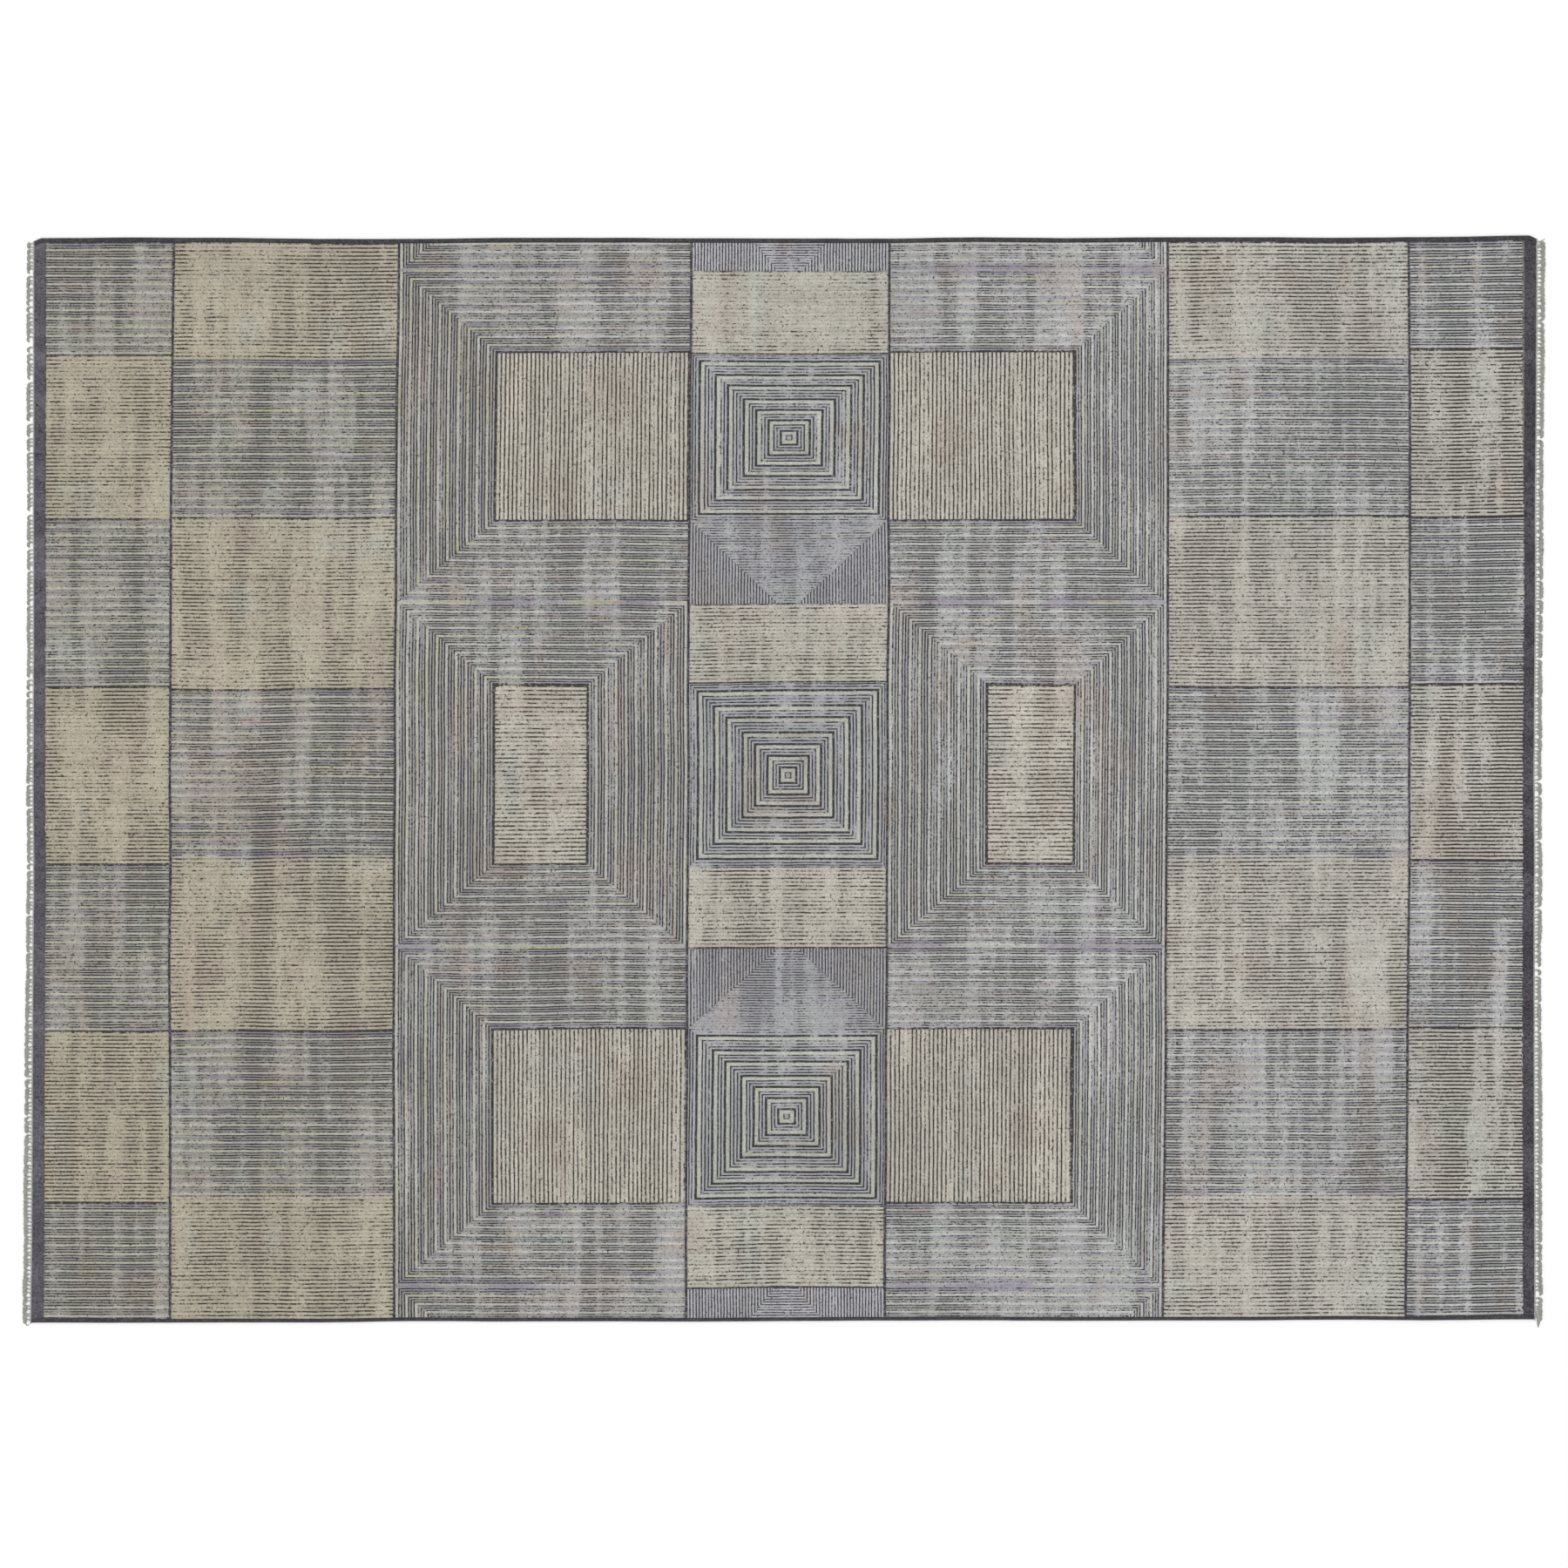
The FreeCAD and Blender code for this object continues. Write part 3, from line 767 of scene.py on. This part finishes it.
def pile_pieces():
    """Every field of the pile as its own piece, named after its CAD node."""
    for node in sorted(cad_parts):
        if not node.startswith("pile_") or node == "pile_d_strips":
            continue
        _, place, kind = node.split("_")
        low, high = box_mm(node)
        if kind in ("grey", "sand"):
            style = "pale" if kind == "sand" and place[0] == "d" else kind
            pattern = "grey" if kind == "grey" else "dense" if place[0] == "g" else "sand"
            border = place[0] in "adg" or place[1] in "235"
            sectors = plain_field(low, high, style, border=border, pattern=pattern)
        elif kind == "block":
            sectors = plain_field(low, high, "block", "x" if place[1] == "2" else "y", border=False)
        elif kind == "frame":
            sectors = frame_field(low, high, *box_mm(node.replace("frame", "block")))
        elif kind == "squares":
            sectors = squares_field(low, high)
        else:
            half = (high[0] - low[0]) / 2
            sectors = chevron_field(low, high, "chevron", 1 if place == "d1" else -1, half, CHEVRON_NARROW)
        slot = {
            "grey": "grey_wool",
            "frame": "grey_wool",
            "sand": "sand_wool",
            "block": "sand_wool",
            "squares": "silver_wool",
            "chevron": "blue_grey_wool",
        }[kind]
        make_field(f"wool_{place}_{kind}", [node], sectors, slot)


def strip_pieces():
    """The short striped strips at both ends of the centre column, which share one CAD node."""
    low, high = box_mm("pile_d_strips")
    _, first_high = box_mm("pile_d1_sand")
    last_low, _ = box_mm("pile_d4_sand")
    for name, near, far, side in (
        ("wool_d_strip_far", first_high[1], high[1], 1),
        ("wool_d_strip_near", low[1], last_low[1], -1),
    ):
        strip_low = np.array([low[0], near, low[2]])
        strip_high = np.array([high[0], far, high[2]])
        sectors = chevron_field(strip_low, strip_high, "strip", side, STRIP_WIDE, STRIP_NARROW)
        make_field(name, ["pile_d_strips"], sectors, "blue_grey_wool")


pile_pieces()
strip_pieces()


# ---------------------------------------------------------------- strips, cords and fringe


def grid_faces(rows, cols, closed=False):
    """Quads of a grid of points, rows by cols. A closed one joins its last column to its first."""
    i, j = np.meshgrid(np.arange(rows - 1), np.arange(cols if closed else cols - 1), indexing="ij")
    following = (j + 1) % cols
    a, b = i * cols + j, i * cols + following
    return np.stack([a, b, b + cols, a + cols], axis=2).reshape(-1, 4)


def rim_of(rows, cols):
    """Numbers of the outermost points of a grid, once round it."""
    index = np.arange(rows * cols).reshape(rows, cols)
    return np.concatenate([index[0, :-1], index[:-1, -1], index[-1, :0:-1], index[:0:-1, 0]])


def slab_from(top, foot):
    """Points and faces of a grid of top points, rows by cols by 3, closed down to the height foot."""
    rows, cols = top.shape[:2]
    points = top.reshape(-1, 3)
    rim = rim_of(rows, cols)
    under = points[rim].copy()
    under[:, 2] = foot
    base = len(points) + np.arange(len(rim))
    walls = np.stack([np.roll(rim, -1), rim, base, np.roll(base, -1)], axis=1)
    return np.concatenate([points, under]), [grid_faces(rows, cols), walls, base[::-1][None, :]]


def tube(path, radius, sides, flat=1.0):
    """A closed round tube along a path. radius is one number or one per point of the path."""
    tangent = np.gradient(path, axis=0)
    tangent /= np.linalg.norm(tangent, axis=1, keepdims=True)
    side = np.cross(tangent, [0.0, 0.0, 1.0])
    side /= np.linalg.norm(side, axis=1, keepdims=True)
    up = np.cross(side, tangent)
    turn = np.arange(sides) * 2 * np.pi / sides
    radius = np.broadcast_to(radius, len(path))[:, None, None]
    level_part = np.cos(turn)[None, :, None] * side[:, None, :]
    ring = level_part + np.sin(turn)[None, :, None] * up[:, None, :] * flat
    points = (path[:, None, :] + radius * ring).reshape(-1, 3)
    caps = [np.arange(sides)[None, :], (len(points) - sides + np.arange(sides))[::-1][None, :]]
    return points, [grid_faces(len(path), sides, closed=True)[:, ::-1], *caps]


def mottled(points, light, dark, noise, second):
    """Colours between two wools, by noise."""
    x, y = points[:, 0], points[:, 1]
    share = np.clip(0.5 + 0.4 * noise(x, y) + 0.3 * second(x, y), 0, 1)
    return blend(light, dark, share)


fine = SmoothNoise(7, 5, 31)
coarse = SmoothNoise(60, 40, 32)
weft_rows = SmoothNoise(40, 4.5, 33)


def end_band(name, node):
    """The kilim end: fine ribs over the warps, crossed by weft stitches."""
    low, high = box_mm(node)
    x = np.linspace(low[0], high[0], 27)
    y = np.arange(low[1], high[1] + 0.01, (high[1] - low[1]) / round((high[1] - low[1]) / 1.3))
    grid_x, grid_y = np.meshgrid(x, y)
    rib = np.abs(np.sin(np.pi * grid_y / KILIM_RIB))
    stitch = np.cos(2 * np.pi * grid_x / KNOT + np.pi * np.floor(grid_y / KILIM_RIB))
    height = high[2] - 0.9 + 0.7 * rib + 0.2 * stitch * rib
    points, faces = slab_from(np.stack([grid_x, grid_y, height], axis=2), low[2])
    colours = mottled(points, yarn(116, 113, 121), yarn(92, 90, 98), fine, coarse)
    dark = 0.14 + 0.1 * weft_rows(points[:, 0], points[:, 1]) + 0.15 * coarse(points[:, 0], points[:, 1])
    if low[0] > 0:
        dark = dark + 0.42
    make_object(name, points, faces, colours, dark, charcoal_wool, [node])


def overcast_edge(name, node):
    """The side's thick cord, wound round and round with dark wool."""
    low, high = box_mm(node)
    middle, half = (low + high) / 2, (high - low) / 2
    sides = 16
    rings = round((high[0] - low[0]) / 1.6)
    turn = np.arange(sides) * 2 * np.pi / sides
    x, angle = np.meshgrid(np.linspace(low[0], high[0], rings), turn, indexing="ij")
    cord_y = np.full_like(x, middle[1])
    winding = np.sin(2 * np.pi * x / OVERCAST_TURN + 0.7 * np.sin(angle) + 1.5 * fine(x, cord_y))
    swell = 0.93 + 0.05 * winding + 0.04 * coarse(x, cord_y)
    outer = np.sign(middle[1])
    round_y, round_z = np.cos(angle), np.sin(angle)
    # The near cord presses further into the pile's side than the far one.
    spread, inset = (1.0, 0.3) if outer > 0 else (0.2, 2.2)
    y = middle[1] + outer * (half[1] + spread) * round_y * swell - outer * inset
    z = middle[2] + half[2] * round_z * swell
    points = np.stack([x, y, np.maximum(z, low[2])], axis=2).reshape(-1, 3)
    caps = [np.arange(sides)[None, :], (len(points) - sides + np.arange(sides))[::-1][None, :]]
    faces = [grid_faces(rings, sides, closed=True)[:, ::-1], *caps]
    if outer > 0:
        faces = [group[:, ::-1] for group in faces]
    colours = mottled(points, yarn(96, 95, 98), yarn(64, 63, 66), fine, coarse)
    # Painted shade: the cord's wool is made darker in the grooves between the turns of its winding and
    # lighter on their crests, on top of the wool's own mottling.
    dark = np.clip(0.55 - 0.25 * winding.ravel() + 0.2 * fine(points[:, 0], points[:, 1]), 0, 1)
    make_object(name, points, faces, colours, dark, charcoal_wool, [node])


def column_line(name, start, stop, low, high):
    """A raised line of dark knots between two columns of fields."""
    x = np.linspace(start, stop, 6)
    y = np.linspace(low[1], high[1], round((high[1] - low[1]) / KNOT) + 1)
    grid_x, grid_y = np.meshgrid(x, y)
    crown = np.array([0.0, 0.8, 1.0, 1.0, 0.8, 0.0])
    height = high[2] + 0.6 - 1.2 * (1 - crown)[None, :] + 0.4 * fine(grid_x, grid_y)
    points, faces = slab_from(np.stack([grid_x, grid_y, height], axis=2), low[2])
    colours = mottled(points, yarn(140, 136, 142), yarn(96, 91, 99), fine, coarse)
    dark = 0.72 + 0.25 * fine(points[:, 0], points[:, 1]) - 0.45 * (np.abs(points[:, 0] - x.mean()) > 2.8)
    nodes = ["column_lines"]
    make_object(name, points, faces, colours, dark, dark_line_wool, nodes)


def column_lines():
    """The six lines, in the gaps between neighbouring columns."""
    low, high = box_mm("column_lines")
    firsts = ["a1_grey", "b1_sand", "c1_frame", "d1_sand", "e1_frame", "f1_sand", "g1_grey"]
    boxes = [box_mm(f"pile_{name}") for name in firsts]
    for (left, right), letters in zip(zip(boxes, boxes[1:]), ("ab", "bc", "cd", "de", "ef", "fg")):
        column_line(f"line_{letters}", left[1][0], right[0][0], low, high)


def twined_cord(name, node):
    """Two strands twisted about each other along the rug's end."""
    low, high = box_mm(node)
    middle, half = (low + high) / 2, (high - low) / 2
    y = np.linspace(low[1], high[1], round((high[1] - low[1]) / 1.3))
    strands = []
    for phase in (0.0, np.pi):
        turn = 2 * np.pi * y / TWINE_TURN + phase
        path = np.stack([middle[0] + 1.1 * np.cos(turn), y, middle[2] + 0.7 * np.sin(turn)], axis=1)
        strands.append(tube(path, 1.45, 8, flat=0.9))
    points, faces = join(strands)
    colours = mottled(points, yarn(196, 196, 190), yarn(160, 161, 156), fine, coarse)
    dark = np.full(len(points), 0.12)
    make_object(name, points, faces, colours, dark, warp_cotton, [node])


def fringe(name, node, seed):
    """Warp ends that leave the cord in slanting bundles, then turn and plait along the edge."""
    low, high = box_mm(node)
    side = np.sign(low[0] + high[0])
    cord = box_mm(node.replace("fringe", "twined_cord"))
    start = abs(cord[0][0] + cord[1][0]) / 2
    random = np.random.default_rng(seed)
    count = round((high[1] - low[1]) / FRINGE_PITCH)
    bundles, lights = [], []
    for number in range(count):
        down = 1 - (number + 0.5) / count
        thin = smoothstep(0.6, 0.35, down) if side < 0 else 0.0
        if random.random() < 0.01 + 0.09 * thin:
            continue
        y = low[1] + (number + 0.5) * FRINGE_PITCH + random.uniform(-1.6, 1.6)
        widening = 18.5 + 3.5 * smoothstep(0.55, 1.0, down) if side < 0 else 22.0 - 2.0 * down
        out = widening + 1.6 * coarse(y, side * 100) + random.uniform(-1.0, 0.8)
        lean = random.uniform(-1.0, 4.5)
        turn = -1 if random.random() < 0.94 else 1
        # Each corner is how far out of the cord, how far along the edge and how high it is.
        route = np.array(
            [
                [0.0, 0.0, 1.9],
                [0.2 * out, 0.4 * lean, 1.3],
                [0.4 * out, lean, 1.6],
                [0.62 * out, lean + 2.0 * turn, 2.6],
                [0.86 * out, lean + 5.5 * turn, 3.0],
                [0.84 * out, lean + 10.5 * turn, 2.6],
                [0.64 * out, lean + 15.0 * turn, 1.9],
            ]
        )
        path = smooth_path(route, 15)
        path[:, 1] = np.clip(y + path[:, 1], low[1] + 1, high[1] - 1)
        path[:, 0] = side * (start + path[:, 0])
        along = np.linspace(0, 1, len(path))
        fullness = out / 20 * (1 - 0.2 * thin)
        swell = 2.3 * smoothstep(0.3, 0.55, along) - 2.2 * smoothstep(0.85, 1.0, along)
        radius = 2.1 + fullness * swell
        radius = radius * random.uniform(0.85, 1.12)
        bundles.append(tube(path, radius, 7, flat=0.5))
        tail = random.uniform(0.5, 1.0)
        lights.append((len(bundles[-1][0]), tail))
        if random.random() < 0.4:
            tip = path[9]
            ends = np.array([[0, 0, 0], [1.6, 0.5, -0.2], [3.0 + 2 * tail, random.uniform(-3, 3), -1.4]])
            loose = tip + smooth_path(ends * [side, 1, 1], 5)
            bundles.append(tube(loose, 0.6, 5))
            lights.append((len(bundles[-1][0]), 1.0))
    for path, radius in corner_tails(side, start):
        bundles.append(tube(path, radius, 7, flat=0.4))
        lights.append((len(bundles[-1][0]), 0.5))
    points, faces = join(bundles)
    points[:, 2] = np.maximum(points[:, 2], 0.05)
    out = smoothstep(6, 11, side * points[:, 0] - start)
    colours = blend(yarn(178, 180, 171), yarn(164, 167, 157), out)
    brightness = np.concatenate([np.full(size, 0.92 + 0.12 * tail) for size, tail in lights])
    dark = 0.12 + 0.16 * out + 0.1 * fine(points[:, 0], points[:, 1])
    colours = colours * brightness[:, None]
    make_object(name, points, faces, colours, dark, warp_cotton, [node])


def corner_tails(side, start):
    """Loose ends past the corners, as pairs of a path and its radius.

    A curl is at the near left, a pointed tail at the near right and a forked thread at the far right.
    A route's points are how far out of the cord, how far past the rug's side and how high they are.
    """
    if side < 0:
        curl = [(9, -12, 1.6), (14, -2, 1.6), (10, 6, 1.4), (4, 2, 1.2)]
        routes = [(-1, curl, 2.0, 1.0)]
    else:
        tail = [(11, -26, 2.2), (12, -10, 2.2), (10.5, 8, 1.8), (10, 21, 1.0)]
        upper = [(4, -26, 1.6), (9, -10, 1.5), (16, -4, 1.2), (24, 1, 1.0)]
        lower = [(5, -30, 1.6), (12, -16, 1.4), (20, -12, 1.0), (25, -14, 0.8)]
        routes = [(-1, tail, 10.5, 0.8), (1, upper, 1.4, 0.7), (1, lower, 1.4, 0.7)]
    tails = []
    for rug_side, route, thick, thin in routes:
        corners = [[out, rug_side * (HALF_WIDTH + past), height] for out, past, height in route]
        path = smooth_path(np.array(corners), 11)
        path[:, 0] = side * (start + path[:, 0])
        tails.append((path, np.linspace(thick, thin, 11)))
    return tails


def smooth_path(route, count):
    """count points on the smooth curve through a route's points, a Catmull-Rom spline."""
    control = np.concatenate([[2 * route[0] - route[1]], route, [2 * route[-1] - route[-2]]])
    place = np.linspace(0, len(route) - 1, count)
    span = np.minimum(place.astype(int), len(route) - 2)
    t = (place - span)[:, None]
    p0, p1, p2, p3 = (control[span + k] for k in range(4))
    bend = 2 * p0 - 5 * p1 + 4 * p2 - p3
    twist = 3 * p1 - p0 - 3 * p2 + p3
    return 0.5 * (2 * p1 + (p2 - p0) * t + bend * t**2 + twist * t**3)


def ground_sheet():
    """The woven ground. It shows in thin gaps at the pile's ends, and from below as the knots' backs."""
    low, high = box_mm("ground_weave")
    x = np.linspace(low[0], high[0], 177)
    y = np.linspace(low[1], high[1], 127)
    grid_x, grid_y = np.meshgrid(x, y)
    top = np.stack([grid_x, grid_y, np.full_like(grid_x, high[2])], axis=2)
    bottom = np.stack([grid_x, grid_y, np.full_like(grid_x, low[2])], axis=2)
    rows, cols = grid_x.shape
    rim = rim_of(rows, cols)
    offset = rows * cols
    walls = np.stack([np.roll(rim, -1), rim, rim + offset, np.roll(rim, -1) + offset], axis=1)
    faces = [grid_faces(rows, cols), grid_faces(rows, cols)[:, ::-1] + offset, walls]
    points = np.concatenate([top.reshape(-1, 3), bottom.reshape(-1, 3)])
    colours = np.tile(yarn(130, 127, 124), (len(points), 1))
    for node in sorted(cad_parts):
        style = node.split("_")[-1]
        if not node.startswith("pile_") or (style, "wide") not in WOOLS:
            continue
        field_low, field_high = box_mm(node)
        inside = np.all((points[:, :2] >= field_low[:2]) & (points[:, :2] <= field_high[:2]), axis=1)
        colours[inside] = 0.8 * WOOLS[(style, "wide")][0]
    x, y = points[:, 0], points[:, 1]
    dark = np.clip(0.3 + 0.3 * streaks(x, y) + 0.2 * fine(x, y), 0, 1)
    nodes = ["ground_weave"]
    sheet = make_object("ground_sheet", points, faces, colours, dark, ground_cotton, nodes)


for end in ("left", "right"):
    end_band(f"kilim_{end}", f"end_band_{end}")
    twined_cord(f"twine_{end}", f"twined_cord_{end}")
    fringe(f"plait_{end}", f"fringe_{end}", 41 if end == "left" else 42)
overcast_edge("overcast_far", "selvage_far")
overcast_edge("overcast_near", "selvage_near")
column_lines()


# ---------------------------------------------------------------- floor, light and camera


# The floor and lamp are in metres and watts, the lens and sensor in millimetres. The view is the rug's
# length times VIEW_MARGIN, and its middle is off the rug's by VIEW_SHIFT of that.
FLOOR_SIZE = 40
SKY_STRENGTH = 0.8
SOFTBOX_SIZE = 7
SOFTBOX_POWER = 620
SOFTBOX_PLACE = (-1.0, 1.6, 14)
LENS = 85
SENSOR = 36
VIEW_MARGIN = 1.0324
VIEW_SHIFT = -0.0023


def studio():
    """A plain pale floor under even white light, with the camera straight above."""
    bpy.ops.mesh.primitive_plane_add(size=FLOOR_SIZE, location=(0, 0, -0.2 * MM))
    floor = bpy.context.object
    floor.name = "floor"
    paint = bpy.data.materials.new("pale_floor")
    paint.use_nodes = True
    shader = paint.node_tree.nodes["Principled BSDF"]
    shader.inputs["Base Color"].default_value = (0.96, 0.96, 0.96, 1)
    shader.inputs["Roughness"].default_value = 0.9
    shader.inputs["Specular IOR Level"].default_value = 0.0
    floor.data.materials.append(paint)

    scene = bpy.context.scene
    world = bpy.data.worlds.new("studio")
    world.use_nodes = True
    world.node_tree.nodes["Background"].inputs["Color"].default_value = (1, 1, 1, 1)
    world.node_tree.nodes["Background"].inputs["Strength"].default_value = SKY_STRENGTH
    scene.world = world
    softbox = bpy.data.lights.new("softbox", "AREA")
    softbox.size = SOFTBOX_SIZE
    softbox.energy = SOFTBOX_POWER
    lamp = bpy.data.objects.new("softbox", softbox)
    lamp.location = SOFTBOX_PLACE
    scene.collection.objects.link(lamp)

    camera = bpy.data.cameras.new("camera")
    camera.lens = LENS
    camera.sensor_width = SENSOR
    view_width = 2 * HALF_LENGTH * MM * VIEW_MARGIN
    eye = bpy.data.objects.new("camera", camera)
    eye.location = (0, VIEW_SHIFT * view_width, view_width * LENS / SENSOR + PILE_TOP * MM)
    scene.collection.objects.link(eye)
    scene.camera = eye
    scene.view_settings.view_transform = "Standard"


studio()
ground_sheet()
